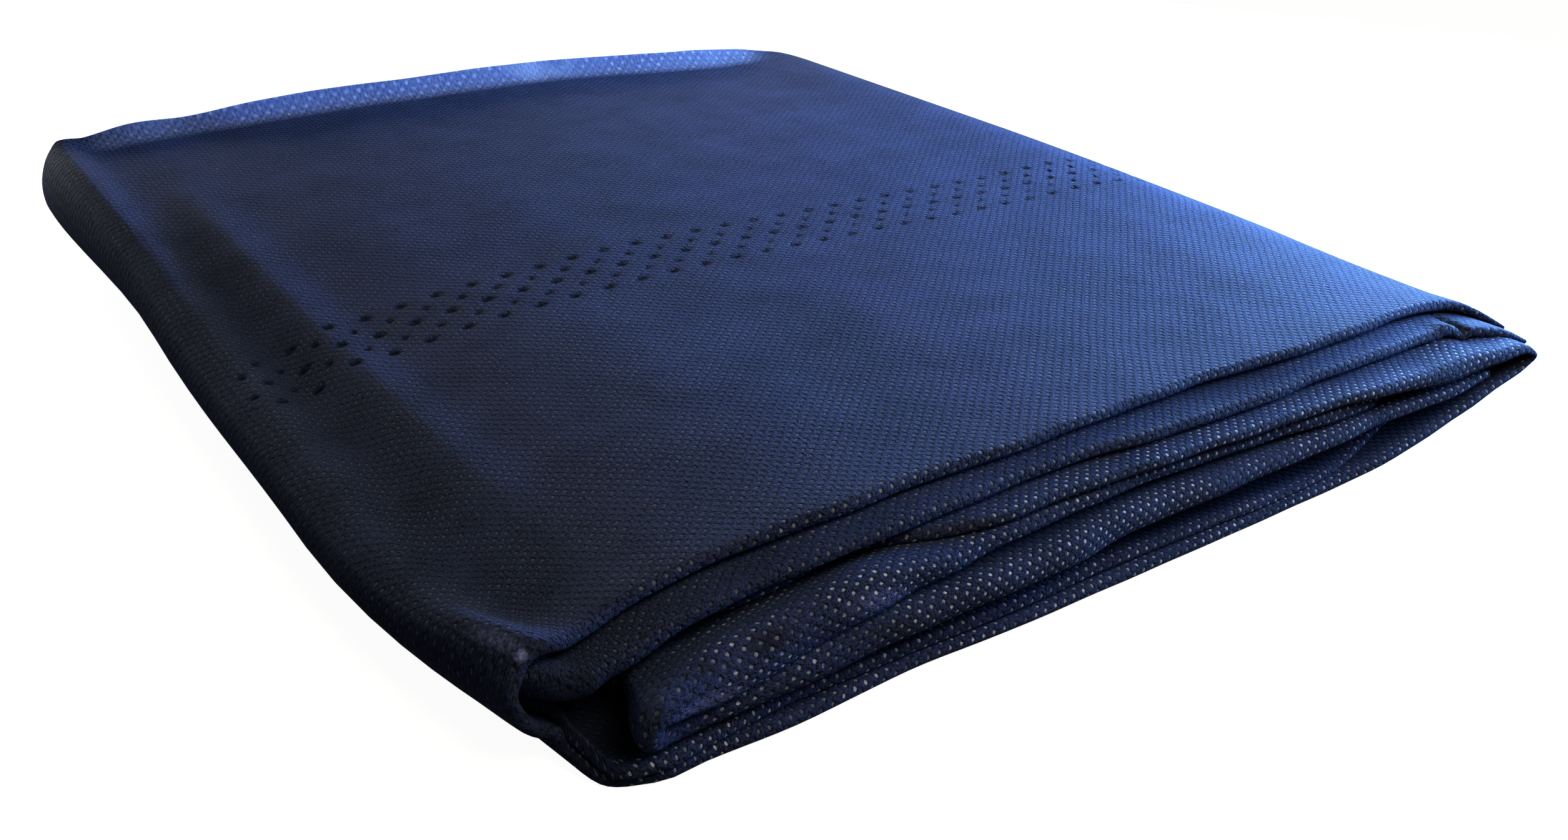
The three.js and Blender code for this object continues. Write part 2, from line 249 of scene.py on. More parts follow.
# The strip's middle line, from its loose end on top to its inner end.
# x, z: middle of the strip; corner: shift along X at the front corner; lip: share of the full lip;
# loft: share of the full space between the plies;
# foldA, midA, halfA: front fold of plies 1 and 2, its middle off the strip's own and half its height;
# foldB, midB, halfB: the same of plies 3 and 4.
COLUMNS = ("x", "z", "corner", "lip", "loft", "foldA", "midA", "halfA", "foldB", "midB", "halfB")
STRIP = (
    # top level, right to left
    (263, 22.6, 0, 0, 0.5, 8, 0.9, 0.6, 1.5, -0.9, 0.6),
    (258, 24.3, 0, 0.02, 0.55, 10.8, 1, 0.7, 1.8, -1, 0.7),
    (250, 26.2, 0, 0.08, 0.8, 14.4, 1.5, 1.1, 3.8, -1.4, 1),
    (242, 27.3, 0, 0.2, 0.9, 15, 1.7, 1.2, 6.2, -1.6, 1.2),
    (228, 28.3, 0, 0.57, 1, 14.6, 1.95, 1.1, 7.4, -1.85, 1.2),
    (212, 28.6, 0, 0.74, 1, 13.5, 1.95, 1.1, 7.2, -1.85, 1.2),
    (195, 28.6, 0, 0.72, 1, 12.6, 1.95, 1.1, 6.4, -1.85, 1.2),
    (167, 28.3, 0, 0.68, 1, 13.5, 1.95, 1.1, 5.1, -1.85, 1.2),
    (143, 28.8, 0, 0.68, 1, 12.6, 1.95, 1.1, 5, -1.85, 1.2),
    (120, 29.1, 0, 0.7, 1, 10.7, 1.95, 1.1, 5.5, -1.85, 1.2),
    (97, 28.7, 0, 0.68, 1, 9.7, 1.95, 1.1, 5.2, -1.85, 1.2),
    (80, 28.3, 0, 0.67, 1, 10.2, 1.95, 1.1, 4.2, -1.85, 1.2),
    (62, 27.2, 0, 0.68, 1, 10.5, 1.95, 1.1, 4.4, -1.85, 1.2),
    (45, 25.6, 0, 0.6, 1, 11, 1.95, 1.1, 4.4, -1.85, 1.2),
    (27, 23.0, 0.5, 0.4, 1, 11.5, 1.95, 1.1, 4.2, -2, 1.5),
    (12, 20.2, 3, 0.4, 1, 10, 1.95, 1.1, 4.4, -3.1, 2.1),
    (0, 16.9, 10, 0.2, 1, 8.5, 1.95, 1.1, 5, -3, 1.9),
    # outer turn at the left end
    (-7.5, 15.2, 12.5, 0.05, 1, 8.5, 1.7, 1.2, 9.5, -2.3, 1.4),
    (-9.7, 13.6, 13.5, 0, 1, 8, 1.7, 1.1, 12, -1.9, 1.1),
    (-10.4, 11.4, 15.5, 0, 1, 7.5, 1.7, 1.1, 13, -1.7, 0.9),
    (-9.5, 8.9, 17.5, 0, 1, 7.5, 1.6, 1.1, 13, -1.6, 0.9),
    (-7.8, 7.7, 18, 0, 1, 7.5, 1.6, 1.1, 11, -1.6, 0.9),
    (-1.5, 4.6, 11.5, 0, 1, 5, 1.5, 1, 5, -1.5, 1),
    # bottom level, left to right
    (4, 2.9, 7, 0, 1, -1.5, 1.4, 1, -3.5, -1.4, 1.1),
    (11, STRIP_HALF, 6, 0, 1, -4.8, 1.4, 1, -5.8, -1.3, 1.1),
    (24, STRIP_HALF, 3.5, 0, 1, -4.9, 1.4, 1, -4.8, -1.3, 1.1),
    (45, STRIP_HALF, 0, 0, 1, -4.9, 1.4, 1, -2.4, -1.3, 1.1),
    (70, STRIP_HALF, 0, 0, 1, -3, 1.4, 1, -1.9, -1.3, 1.1),
    (102, STRIP_HALF, 0, 0, 1, -2.9, 1.4, 1, -1.3, -1.3, 1.1),
    (120, STRIP_HALF, 0, 0, 1, -2.2, 1.4, 1, -0.1, -1.3, 1.1),
    (150, STRIP_HALF, 0, 0, 1, -1.4, 1.4, 1, 0.3, -1.2, 1),
    (178, STRIP_HALF, 0, 0, 1, -0.2, 1.4, 1, 1, -0.9, 0.8),
    (194, 3.3, 0, 0, 1, -0.1, 1.4, 1, 1.8, -0.7, 0.65),
    (210, 5.6, 0, 0, 1, -1.2, 1.4, 1, 5, -0.6, 0.6),
    (228, 9.0, 0, 0, 0.9, -1.3, 1.3, 0.9, 8.5, -0.6, 0.55),
    (240, 12.0, 0, 0, 0.75, -1.4, 1, 0.8, 9, -0.6, 0.5),
    (252, 15.4, 0, 0, 0.5, -1.8, 0.7, 0.55, 7.5, -0.6, 0.5),
    # right turn
    (258.3, 17.3, 0, 0, 0.36, -2.2, 0.55, 0.5, 5.5, -0.5, 0.4),
    (260.4, 18.9, 0, 0, 0.36, -2.8, 0.4, 0.6, 5, -0.6, 0.35),
    (258.3, 20.9, 0, 0, 0.36, -3.2, 0.1, 0.9, 5, -0.6, 0.4),
    # second level, right to left
    (247, 22.1, 0, 0, 0.65, -2.9, 0, 1.7, 9, -1, 0.6),
    (236, 22, 0, 0, 0.95, -2.1, 0, 2.3, 9.5, -1.6, 1),
    (225, 21.7, 0, 0, 1, -2, 0.1, 2.5, 9, -1.75, 1.2),
    (218, 21.5, 0, 0, 1, -1.9, 0.6, 2.1, 6.5, -1.85, 1.2),
    (211, 21.5, 0, 0, 1, -1.6, 1.2, 1.7, 3.6, -1.9, 1.4),
    (203, 21.5, 0, 0, 1, -1.2, 1.6, 1.4, 1, -2, 1.55),
    (192, 21.5, 0, 0, 1, -0.8, 1.8, 1.1, 0.3, -2, 1.55),
    (182, 21.5, 0, 0, 1, -0.4, 1.8, 1.1, 0.6, -1.9, 1.45),
    (165, 21.3, 0, 0, 1, 0.6, 1.8, 1.1, 2.2, -1.85, 1.2),
    (144, 21.6, 0, 0, 1, 0.7, 1.8, 1.1, 2, -1.85, 1.2),
    (124, 22.0, 0, 0, 1, 0.4, 1.8, 1.1, 1.1, -1.85, 1.2),
    (111, 21.8, 0, 0, 1, 0.4, 1.8, 1.1, 0, -1.75, 1.35),
    (103, 21.7, 0, 0, 1, 0.4, 1.8, 1.1, -0.3, -1.8, 1.35),
    (95, 21.5, 0, 0, 1, 0.6, 1.8, 1.1, -0.8, -1.75, 1.45),
    (88, 21.3, 0, 0, 1, 1.4, 1.8, 1.1, -1.4, -1.7, 1.6),
    (81, 21.0, 0, 0, 1, 3.2, 1.75, 1.1, -2.2, -1.5, 2.1),
    (74, 20.7, 0, 0, 1, 6, 1.75, 1.1, -3.1, -1.2, 3),
    (66, 20.2, 0, 0, 1, 8.5, 1.75, 1.1, -4.1, -1, 3.9),
    (48, 18.2, -2, 0, 1, 7.5, 1.75, 1.1, -5.3, -1.1, 4.2),
    (34, 16.3, -4, 0, 1, 10, 1.75, 1.1, -7, -1, 4.2),
    (26.5, 15.6, -5, 0, 1, 13, 1.7, 1, -8, -0.4, 3.4),
    # inner turn at the left end
    (23.1, 14.3, -5, 0, 1, 14, 1.7, 0.8, -8.4, 0.1, 2.7),
    (22.3, 12.3, -5, 0, 1, 14, 1.7, 0.8, -8.2, 0.2, 2.4),
    (23.1, 10.3, -5, 0, 1, 13, 1.7, 0.8, -7.4, 0.2, 2.3),
    (26.5, 9.1, -5, 0, 1, 12, 1.6, 0.9, -5.6, 0.2, 2.3),
    # third level, left to right
    (34, 9.4, -4, 0, 1, 10, 1.5, 0.9, -4.6, 0.3, 2.5),
    (46, 10.5, -2, 0, 1, 8, 1.5, 0.9, -5.4, 0.5, 2.9),
    (66, 12.0, 0, 0, 1, 6, 1.5, 0.9, -5.2, 0.4, 2.9),
    (90, 13.2, 0, 0, 1, 6, 1.5, 0.9, -5.3, 0.4, 2.9),
    (110, 13.7, 0, 0, 1, 6, 1.5, 0.9, -4.5, 0.4, 2.9),
    (126, 14.0, 0, 0, 1, 7, 1.5, 0.9, -2.8, 0.4, 2.8),
    (146, 14.3, 0, 0, 1, 7, 1.5, 0.9, -2.3, 0.2, 2.4),
    (170, 14.5, 0, 0, 1, 7, 1.5, 0.9, -1.6, 0, 2),
    (190, 14.7, 0, 0, 0.9, 5.5, 1.4, 0.8, -1.6, -0.2, 1.7),
    (212, 15.1, 0, 0, 0.7, 3.5, 1.1, 0.6, -0.8, -0.2, 1.4),
    (230, 16.0, 0, 0, 0.5, 1.5, 0.8, 0.5, -1.2, 0, 1.2),
    (245, 17.2, 0, 0, 0.35, -0.5, 0.5, 0.4, -1, 0, 0.7),
)

# Soft ridges and troughs, each along a line in plan: height, half width, and the heights above the table
# between which it fades in and the roof above which it fades out, so that it stays on its own level.
# It swells and sinks along the line.
CREASE_START, CREASE_SPAN = 0.1, 0.8
ROOF_FADE = 1
CREASE_COLUMNS = ("x0", "y0", "x1", "y1", "height", "width", "low", "high", "roof")
CREASES = (
    # top
    (58, 30, 88, 220, 0.25, 17, 6, 30, 99),
    (95, 30, 60, 200, -0.5, 16, 6, 30, 99),
    (150, 60, 190, 230, 0.5, 18, 6, 30, 99),
    (210, 20, 228, 150, 0.45, 10, 6, 30, 99),
    (30, 150, 110, 165, -0.4, 9, 6, 30, 99),
    (120, 190, 240, 170, 0.35, 10, 6, 30, 99),
    # shoulder, trough and ridge along the left end
    (10, 240, 18, 55, 1.5, 6.5, 10, 20, 99),
    (4, 225, 6, 45, -1.6, 4.6, 10, 19, 99),
    (-5, 220, -2, 70, 1.2, 4.4, 10, 18, 99),
    # ridge that runs into the near left corner
    (-6, 34, 13, -8, 4.6, 5.5, 8, 18, 99),
    # dent and bunch in the second band near the loose end
    (243, 14, 241.5, 4, -1.6, 1.3, 22, 24.5, 27.2),
    (236.5, 12, 237, 3, 0.9, 2.4, 22, 24.5, 27.2),
)

# Waves along the front folds: wavelengths along X and Z, phase and size. They calm down behind the folds,
# and near the table.
WAVE_CALM, CALM_FROM, CALM_TO = 0.6, 20, 60
WAVE_LOW, LOW_FROM, LOW_TO = 0.25, 2, 14
WAVE_COLUMNS = ("along", "up", "phase", "size")
WAVES = (
    (71, 37, 0.4, 0.25),
    (37, -21, 2.1, 0.2),
    (21, 15, 4.0, 0.14),
)

# Dimples of the front folds: place along X and Z, depth, and half widths. They fade behind the folds.
DIMPLE_REACH = 8
DIMPLE_COLUMNS = ("x", "z", "depth", "wide", "high")
DIMPLES = (
    (33, 19.5, 1.1, 6, 2.4),
    (47, 17, 0.9, 5, 2.2),
    (58, 21, 1.2, 7, 2),
    (71, 18.5, 0.9, 6, 2.2),
    (26, 14.5, 0.9, 4, 2),
    (88, 20, 0.8, 6, 2),
    (118, 13.5, 0.6, 9, 2),
    (62, 11.5, 0.6, 8, 2),
)

# Floor: radius and height of its rings in metres, sides, and its gap under the blanket
FLOOR_RINGS = ((2.6, 0), (3.0, 0.06), (3.4, 0.26), (3.7, 0.6), (3.9, 1.1), (4.0, 2.5))
FLOOR_SIDES = 48
FLOOR_DROP = -0.0003
FLOOR_SHADER = {
    "Base Color": (0.5, 0.5, 0.5, 1),
    "Roughness": 0.9,
    "Emission Color": (1, 1, 1, 1),
    "Emission Strength": 0.95,
}

# Light of the room, and soft lights: place and aim from the near left corner of the top,
# size in metres, power in watts and colour
ROOM_COLOUR, ROOM_POWER = (1.0, 0.93, 0.85, 1), 0.05
LIGHT_COLUMNS = ("name", "place", "aim", "size", "power", "colour")
LIGHTS = (
    ("window", (560, 420, 190), (100, 150, 30), (0.5, 0.25), 1.35, (0.74, 0.86, 1.0)),
    ("side", (420, 60, 80), (240, 60, 25), (0.25, 0.06), 3.8, (0.2, 0.46, 1.0)),
    ("back", (110, 440, 45), (110, 300, 38), (0.4, 0.06), 0.5, (0.95, 0.97, 1.0)),
    ("front", (190, -190, 380), (120, 0, 15), (0.4, 0.2), 0.9, (1.0, 0.84, 0.58)),
)

# Camera: place from the near left corner of the top, directions, lens and sensor in mm,
# nearest depth in metres
CAMERA_PLACE = (-68.4, -166.0, 156)
CAMERA_RIGHT = (0.8325, -0.5537, 0.0219)
CAMERA_DOWN = (-0.23, -0.3812, -0.8954)
CAMERA_AHEAD = (0.5041, 0.7404, -0.4446)
LENS, SENSOR = 33.275, 36
NEAREST = 0.01


def rows(columns, table):
    """The rows of a table as dicts."""
    return [dict(zip(columns, row)) for row in table]


def smooth(a, b, v):
    """Soft step from 0 at a to 1 at b."""
    u = np.clip((np.asarray(v, float) - a) / (b - a), 0, 1)
    return u * u * (3 - 2 * u)


# Smooth curves through the strip's table
TABLE = {name: np.array([row[i] for row in STRIP], float) for i, name in enumerate(COLUMNS)}
ALONG = np.concatenate([[0], np.cumsum(np.hypot(np.diff(TABLE["x"]), np.diff(TABLE["z"])))])


def slopes(values):
    """Slopes of the smooth curve through a column, at its rows."""
    step = np.diff(ALONG)
    rise = np.diff(values) / step
    inner = (rise[:-1] * step[1:] + rise[1:] * step[:-1]) / (step[1:] + step[:-1])
    return np.concatenate([[rise[0]], inner, [rise[-1]]])


SLOPES = {name: slopes(values) for name, values in TABLE.items()}


def column(name, s):
    """Value of a column at distances s along the strip."""
    i = np.clip(np.searchsorted(ALONG, s, side="right") - 1, 0, len(ALONG) - 2)
    span = ALONG[i + 1] - ALONG[i]
    u = (s - ALONG[i]) / span
    a, b = TABLE[name][i], TABLE[name][i + 1]
    ma, mb = SLOPES[name][i] * span, SLOPES[name][i + 1] * span
    u2, u3 = u * u, u * u * u
    return a * (2 * u3 - 3 * u2 + 1) + ma * (u3 - 2 * u2 + u) + b * (3 * u2 - 2 * u3) + mb * (u3 - u2)


def heading(s):
    """Direction of the strip's middle line in X and Z."""
    low, high = np.maximum(s - HEADING_STEP, 0), np.minimum(s + HEADING_STEP, ALONG[-1])
    dx = column("x", high) - column("x", low)
    dz = column("z", high) - column("z", low)
    size = np.hypot(dx, dz)
    return dx / size, dz / size


def stations():
    """Distances along the strip, closer together where it turns and in the fine stretches."""
    s = np.linspace(0, ALONG[-1], SAMPLES_ALONG)
    dx, dz = heading(s)
    turn = np.abs(np.diff(np.unwrap(np.arctan2(dz, dx))))
    step = np.full(len(s) - 1, STEP_ALONG)
    for start, end, fine in FINE_STRETCHES:
        step[(s[1:] > start) & (s[1:] < end)] = fine
    cost = np.concatenate([[0], np.cumsum(np.diff(s) / step + turn / TURN_ALONG)])
    count = int(round(cost[-1]))
    return np.interp(np.linspace(0, cost[-1], count + 1), cost, s)


def ply(lines, front, back):
    """Places along Y of a ply's lines, between its own front and back."""
    lines = np.asarray(lines, float)[None, :]
    return lines + front * (1 - smooth(0, FRONT_REACH, lines)) + (back - RUN) * smooth(BACK_REACH, RUN, lines)


def across(s):
    """Zigzag of the four plies: y and offset from the strip's middle, for each distance s."""
    at = {name: column(name, s)[:, None] for name in COLUMNS}
    step = PLY_STEP * at["loft"]
    top_edge, back_fold = at["foldA"] + TOP_PLY_RUN, at["foldA"] + BACK_FOLD_RUN
    last_edge = np.minimum(at["foldB"], LAST_FOLD_MAX) + LAST_PLY_RUN
    ys, offsets = [], []

    def flat(lines, pair, back, n, side):
        """A ply from its front fold to the back; side: 1 for the upper ply of a fold, -1 for the lower."""
        front = at["fold" + pair] + NOSE_ROUND * at["half" + pair]
        nose = at["mid" + pair] + side * at["half" + pair]
        y = ply(lines, front, back)
        share = 1 - smooth(0, NOSE_DEPTH, y - front)
        ys.append(y)
        offsets.append(share * nose + (1 - share) * PLY_LEVELS[n] * step)

    def front_fold(pair):
        """The round nose of a front fold."""
        a = np.pi * np.arange(1, FOLD_CUTS)[None, :] / FOLD_CUTS
        half = at["half" + pair]
        ys.append(at["fold" + pair] + NOSE_ROUND * half * (1 - np.sin(a)))
        offsets.append(at["mid" + pair] + half * np.cos(a))

    u = (np.arange(LIP_CUTS, 0, -1) / LIP_CUTS)[None, :]
    ys.append(top_edge + LIP_WIDTH * (u - LIP_LEAN * at["lip"] * u * u))
    offsets.append(PLY_LEVELS[0] * step + at["lip"] * LIP_RISE * u * u)
    flat(TOP_LINES[::-1], "A", top_edge, 0, 1)
    front_fold("A")
    flat(INNER_LINES, "A", back_fold - step / 2, 1, -1)
    a = np.pi * np.arange(1, BACK_FOLD_CUTS)[None, :] / BACK_FOLD_CUTS
    ys.append(back_fold + step / 2 * (np.sin(a) - 1))
    offsets.append(step / 2 * np.cos(a))
    flat(INNER_LINES[::-1], "B", back_fold - step / 2, 2, 1)
    front_fold("B")
    flat(INNER_LINES, "B", last_edge, 3, -1)
    return np.concatenate(ys, axis=1), np.concatenate(offsets, axis=1)


def line_distance(x, y, row):
    """Distance from a line in plan, and the share along it."""
    dx, dy = row["x1"] - row["x0"], row["y1"] - row["y0"]
    length2 = dx * dx + dy * dy
    along = np.clip(((x - row["x0"]) * dx + (y - row["y0"]) * dy) / length2, 0, 1)
    return np.hypot(x - row["x0"] - along * dx, y - row["y0"] - along * dy), along


def crease_lift(x, y, z):
    """Rise of the ridges and troughs."""
    lift = np.zeros_like(z)
    for row in rows(CREASE_COLUMNS, CREASES):
        d, share = line_distance(x, y, row)
        swell = np.sin(np.pi * (CREASE_START + CREASE_SPAN * share))
        level = smooth(row["low"], row["high"], z) * (1 - smooth(row["roof"], row["roof"] + ROOF_FADE, z))
        lift = lift + row["height"] * np.exp(-((d / row["width"]) ** 2)) * swell * level
    return lift


def wave_shift(x, y, z):
    """Shift along Y of the waves of the front folds."""
    wave = np.zeros_like(y)
    for row in rows(WAVE_COLUMNS, WAVES):
        wave = wave + row["size"] * np.sin(2 * np.pi * (x / row["along"] + z / row["up"]) + row["phase"])
    calm = 1 - WAVE_CALM * smooth(CALM_FROM, CALM_TO, y)
    return wave * calm * (WAVE_LOW + (1 - WAVE_LOW) * smooth(LOW_FROM, LOW_TO, z))


def place(s, y, offset):
    """Place of points of the strip's cross sections in the part."""
    dx, dz = (v[:, None] for v in heading(s))
    x = column("x", s)[:, None] + dz * offset
    z = column("z", s)[:, None] - dx * offset
    held_left = HELD_LEFT * np.exp(-np.maximum(0, x - HELD_AT) / HELD_FADE)
    held_back = HELD_BACK * (1 - smooth(HELD_BACK_FROM, HELD_BACK_TO, x))
    held = 1 + smooth(HELD_FROM, HELD_TO, y) * (held_left + held_back)
    drawn = np.clip(1 - y / CORNER_DEPTH, 0, CORNER_MAX) ** 2
    drawn = CORNER_TAIL * (1 - smooth(TAIL_FROM, TAIL_TO, y)) + (1 - CORNER_TAIL) * drawn
    x = x + column("corner", s)[:, None] * (drawn - BACK_SHARE * smooth(BACK_FROM, BACK_TO, y))
    z = z * held
    z = z + crease_lift(x, y, z)
    droop = END_DROOP * np.maximum(0, x - END_FROM) ** 2 * (1 - smooth(DROOP_FROM, DROOP_TO, y))
    z = z - droop * smooth(DROOP_LOW, DROOP_HIGH, z)
    z = z + END_RISE * (1 - smooth(0, END_RUN, s[:, None])) * smooth(RISE_FROM, RISE_TO, y)
    y = y + wave_shift(x, y, z)
    for row in rows(DIMPLE_COLUMNS, DIMPLES):
        d2 = ((x - row["x"]) / row["wide"]) ** 2 + ((z - row["z"]) / row["high"]) ** 2
        y = y + row["depth"] * np.exp(-d2) * (1 - smooth(0, DIMPLE_REACH, y))
    return np.stack([x - CENTRE_X, y - CENTRE_Y, z], axis=-1)


def normals(grid):
    """Unit normals of a grid of points."""
    ds = np.gradient(grid, axis=0)
    dt = np.gradient(grid, axis=1)
    n = np.cross(ds, dt)
    return n / np.linalg.norm(n, axis=-1, keepdims=True)


def sheet_y(y, offset):
    """Distance across the flat sheet, equal to y on the top ply."""
    step = np.hypot(np.diff(y, axis=1), np.diff(offset, axis=1))
    run = np.concatenate([np.zeros((len(y), 1)), np.cumsum(step, axis=1)], axis=1)
    first = LIP_CUTS
    return y[:, first:first + 1] + run[:, first:first + 1] - run


def pits(s, y):
    """Depth share of the pits of the pressed band, at distances along and across the strip."""
    deep = np.zeros_like(y)
    for k in range(PIT_COLUMNS):
        for n, (half_x, half_y) in enumerate(PIT_SIZES):
            pit_s = PIT_FIRST_S - k * PIT_PITCH - n * PIT_STEP[0]
            pit_y = PIT_FIRST_Y + n * PIT_STEP[1]
            if pit_s > PIT_LAST_S:
                continue
            d = np.sqrt(((s - pit_s) / half_x) ** 2 + ((y - pit_y) / half_y) ** 2)
            deep = np.maximum(deep, 1 - smooth(*PIT_RIM, d))
    return deep


def fold_marks(s, y):
    """Shares of the bond dots' painted glint and of painted shade inside the folds, at the points of the
    cross sections.
    """
    places, *values = np.array(DOTS, float).T
    dots = {name: np.interp(s, places, v)[:, None] for name, v in zip(DOT_COLUMNS[1:], values)}
    folds = {pair: column("fold" + pair, s)[:, None] for pair in "AB"}
    # Painted glint of the bond dots, strongest near the front folds
    dot_glint = np.zeros_like(y)
    for pair, fold in folds.items():
        from_fold = np.abs(y - fold) / dots["reach"]
        dot_glint = np.maximum(dot_glint, (1 - smooth(DOT_CORE, 1, from_fold)) * dots["share" + pair])
    # Painted shade inside the folds, behind the front fold of each inner ply
    inside = np.zeros_like(y)
    second = LIP_CUTS + len(TOP_LINES) + FOLD_CUTS - 1
    third = second + len(INNER_LINES) + BACK_FOLD_CUTS - 1
    for pair, plies in (("A", slice(second, third)), ("B", slice(third, None))):
        behind = y[:, plies] - folds[pair]
        hidden = smooth(0, INSIDE_FADE, behind - dots["hidden"])
        inside[:, plies] = hidden * (1 - smooth(INSIDE_TO, INSIDE_END, behind))
    return dot_glint * (1 - inside), inside


def finer(values):
    """A row of values with BAND_CUTS steps for each of its own."""
    n = len(values) - 1
    return np.interp(np.arange(n * BAND_CUTS + 1) / BAND_CUTS, np.arange(n + 1), values)


def sheet_faces(ids, fine, last, first_col, last_col):
    """Faces of both skins, of the finer patch and of the sheet's cut edges."""
    a, b = ids
    n_s, n_t = a.shape
    k = BAND_CUTS
    faces = []
    for i in range(n_s - 1):
        for j in range(n_t - 1):
            faces.append((b[i, j], b[i, j + 1], b[i + 1, j + 1], b[i + 1, j]))
            in_band = first_col <= j < last_col
            if in_band and i < last:
                continue
            loop = [a[i, j], a[i + 1, j], a[i + 1, j + 1], a[i, j + 1]]
            if i < last and j == first_col - 1:
                loop[3:3] = list(fine[i * k + 1:(i + 1) * k, 0][::-1])
            elif i < last and j == last_col:
                loop[1:1] = list(fine[i * k + 1:(i + 1) * k, -1])
            elif i == last and in_band:
                loop.extend(fine[-1, (j - first_col) * k + 1:(j - first_col + 1) * k][::-1])
            faces.append(tuple(loop))
    for i in range(fine.shape[0] - 1):
        for j in range(fine.shape[1] - 1):
            faces.append((fine[i, j], fine[i + 1, j], fine[i + 1, j + 1], fine[i, j + 1]))
    for i in range(n_s - 1):
        faces.append((a[i, 0], b[i, 0], b[i + 1, 0], a[i + 1, 0]))
        faces.append((a[i + 1, -1], b[i + 1, -1], b[i, -1], a[i, -1]))
    for j in range(n_t - 1):
        rim = [a[0, j + 1], b[0, j + 1], b[0, j], a[0, j]]
        if first_col <= j < last_col:
            rim.extend(fine[0, (j - first_col) * k + 1:(j - first_col + 1) * k])
        faces.append(tuple(rim))
        faces.append((a[-1, j], b[-1, j], b[-1, j + 1], a[-1, j + 1]))
    return faces


def make_piece(name, points, uv, marks, faces):
    """A smooth mesh with places on the flat sheet and the shares of its marks."""
    mesh = bpy.data.meshes.new(name)
    mesh.from_pydata((points * MM).tolist(), [], [tuple(int(v) for v in face) for face in faces])
    layer = mesh.uv_layers.new(name="sheet")
    corner = np.empty(len(mesh.loops), dtype=np.int32)
    mesh.loops.foreach_get("vertex_index", corner)
    layer.data.foreach_set("uv", (uv[corner] * MM).astype(np.float32).ravel())
    for n, mark in enumerate(MARKS):
        attribute = mesh.attributes.new(mark, "FLOAT", "POINT")
        attribute.data.foreach_set("value", np.ascontiguousarray(marks[:, n], dtype=np.float32))
    mesh.validate()
    mesh.shade_smooth()
    mesh.set_sharp_from_angle(angle=math.radians(SHARP_DEGREES))
    piece = bpy.data.objects.new(name, mesh)
    bpy.context.scene.collection.objects.link(piece)
    return piece


def build_blanket():
    """The closed sheet: two skins around the middle surface, with a finer patch for the band of pits."""
    s = stations()
    y, offset = across(s)
    middle = place(s, y, offset)
    out = normals(middle)
    flat_u = np.broadcast_to(s[:, None], y.shape)
    flat_v = sheet_y(y, offset)
    pale = np.clip((LIP_CUTS - np.arange(y.shape[1])) / LIP_CUTS * SHEER_GAIN, 0, 1)
    sheer = pale * smooth(*SHEER_LIP, column("lip", s)[:, None])
    dot_glint, inside = fold_marks(s, y)

    # Finer patch: top level, pressed band
    last = int(np.searchsorted(s, ALONG[BAND_ROW]))
    lines = TOP_LINES[::-1]
    first_line, last_line = lines.index(BAND_TO), lines.index(BAND_FROM)
    first_col, last_col = LIP_CUTS + first_line, LIP_CUTS + last_line
    fine_s = finer(s[:last + 1])
    fine_y = np.tile(finer(lines[first_line:last_line + 1]), (len(fine_s), 1))
    fine_u = np.broadcast_to(fine_s[:, None], fine_y.shape)
    fine_mid = place(fine_s, fine_y, PLY_LEVELS[0] * PLY_STEP * column("loft", fine_u))
    deep = pits(fine_u, fine_y)
    fine_top = fine_mid + normals(fine_mid) * (SHEET / 2 - PIT_DEPTH * deep)[..., None]

    points, uv, marks = [], [], []
    ids = np.full((2, *y.shape), -1)
    count = 0
    for side, skin in enumerate((middle + out * SHEET / 2, middle - out * SHEET / 2)):
        keep = np.ones(y.shape, bool)
        if side == 0:
            keep[1:last, first_col + 1:last_col] = False
        ids[side][keep] = count + np.arange(keep.sum())
        count += keep.sum()
        points.append(skin[keep])
        uv.append(np.stack([flat_u[keep], flat_v[keep]], axis=-1))
        marks.append(np.stack([np.zeros(keep.sum()), sheer[keep], dot_glint[keep], inside[keep]], axis=-1))
    fine = np.full(deep.shape, -1)
    fine[::BAND_CUTS, 0] = ids[0, :last + 1, first_col]
    fine[::BAND_CUTS, -1] = ids[0, :last + 1, last_col]
    fine[0, ::BAND_CUTS] = ids[0, 0, first_col:last_col + 1]
    fine[-1, ::BAND_CUTS] = ids[0, last, first_col:last_col + 1]
    new = fine < 0
    fine[new] = count + np.arange(new.sum())
    points.append(fine_top[new])
    uv.append(np.stack([fine_u[new], fine_y[new]], axis=-1))
    marks.append(np.stack([deep[new], *np.zeros((len(MARKS) - 1, new.sum()))], axis=-1))
    points = np.concatenate(points)
    points[:, 2] = np.maximum(points[:, 2], 0)
    faces = sheet_faces(ids, fine, last, first_col, last_col)
    return make_piece("blanket_sheet", points, np.concatenate(uv), np.concatenate(marks), faces)


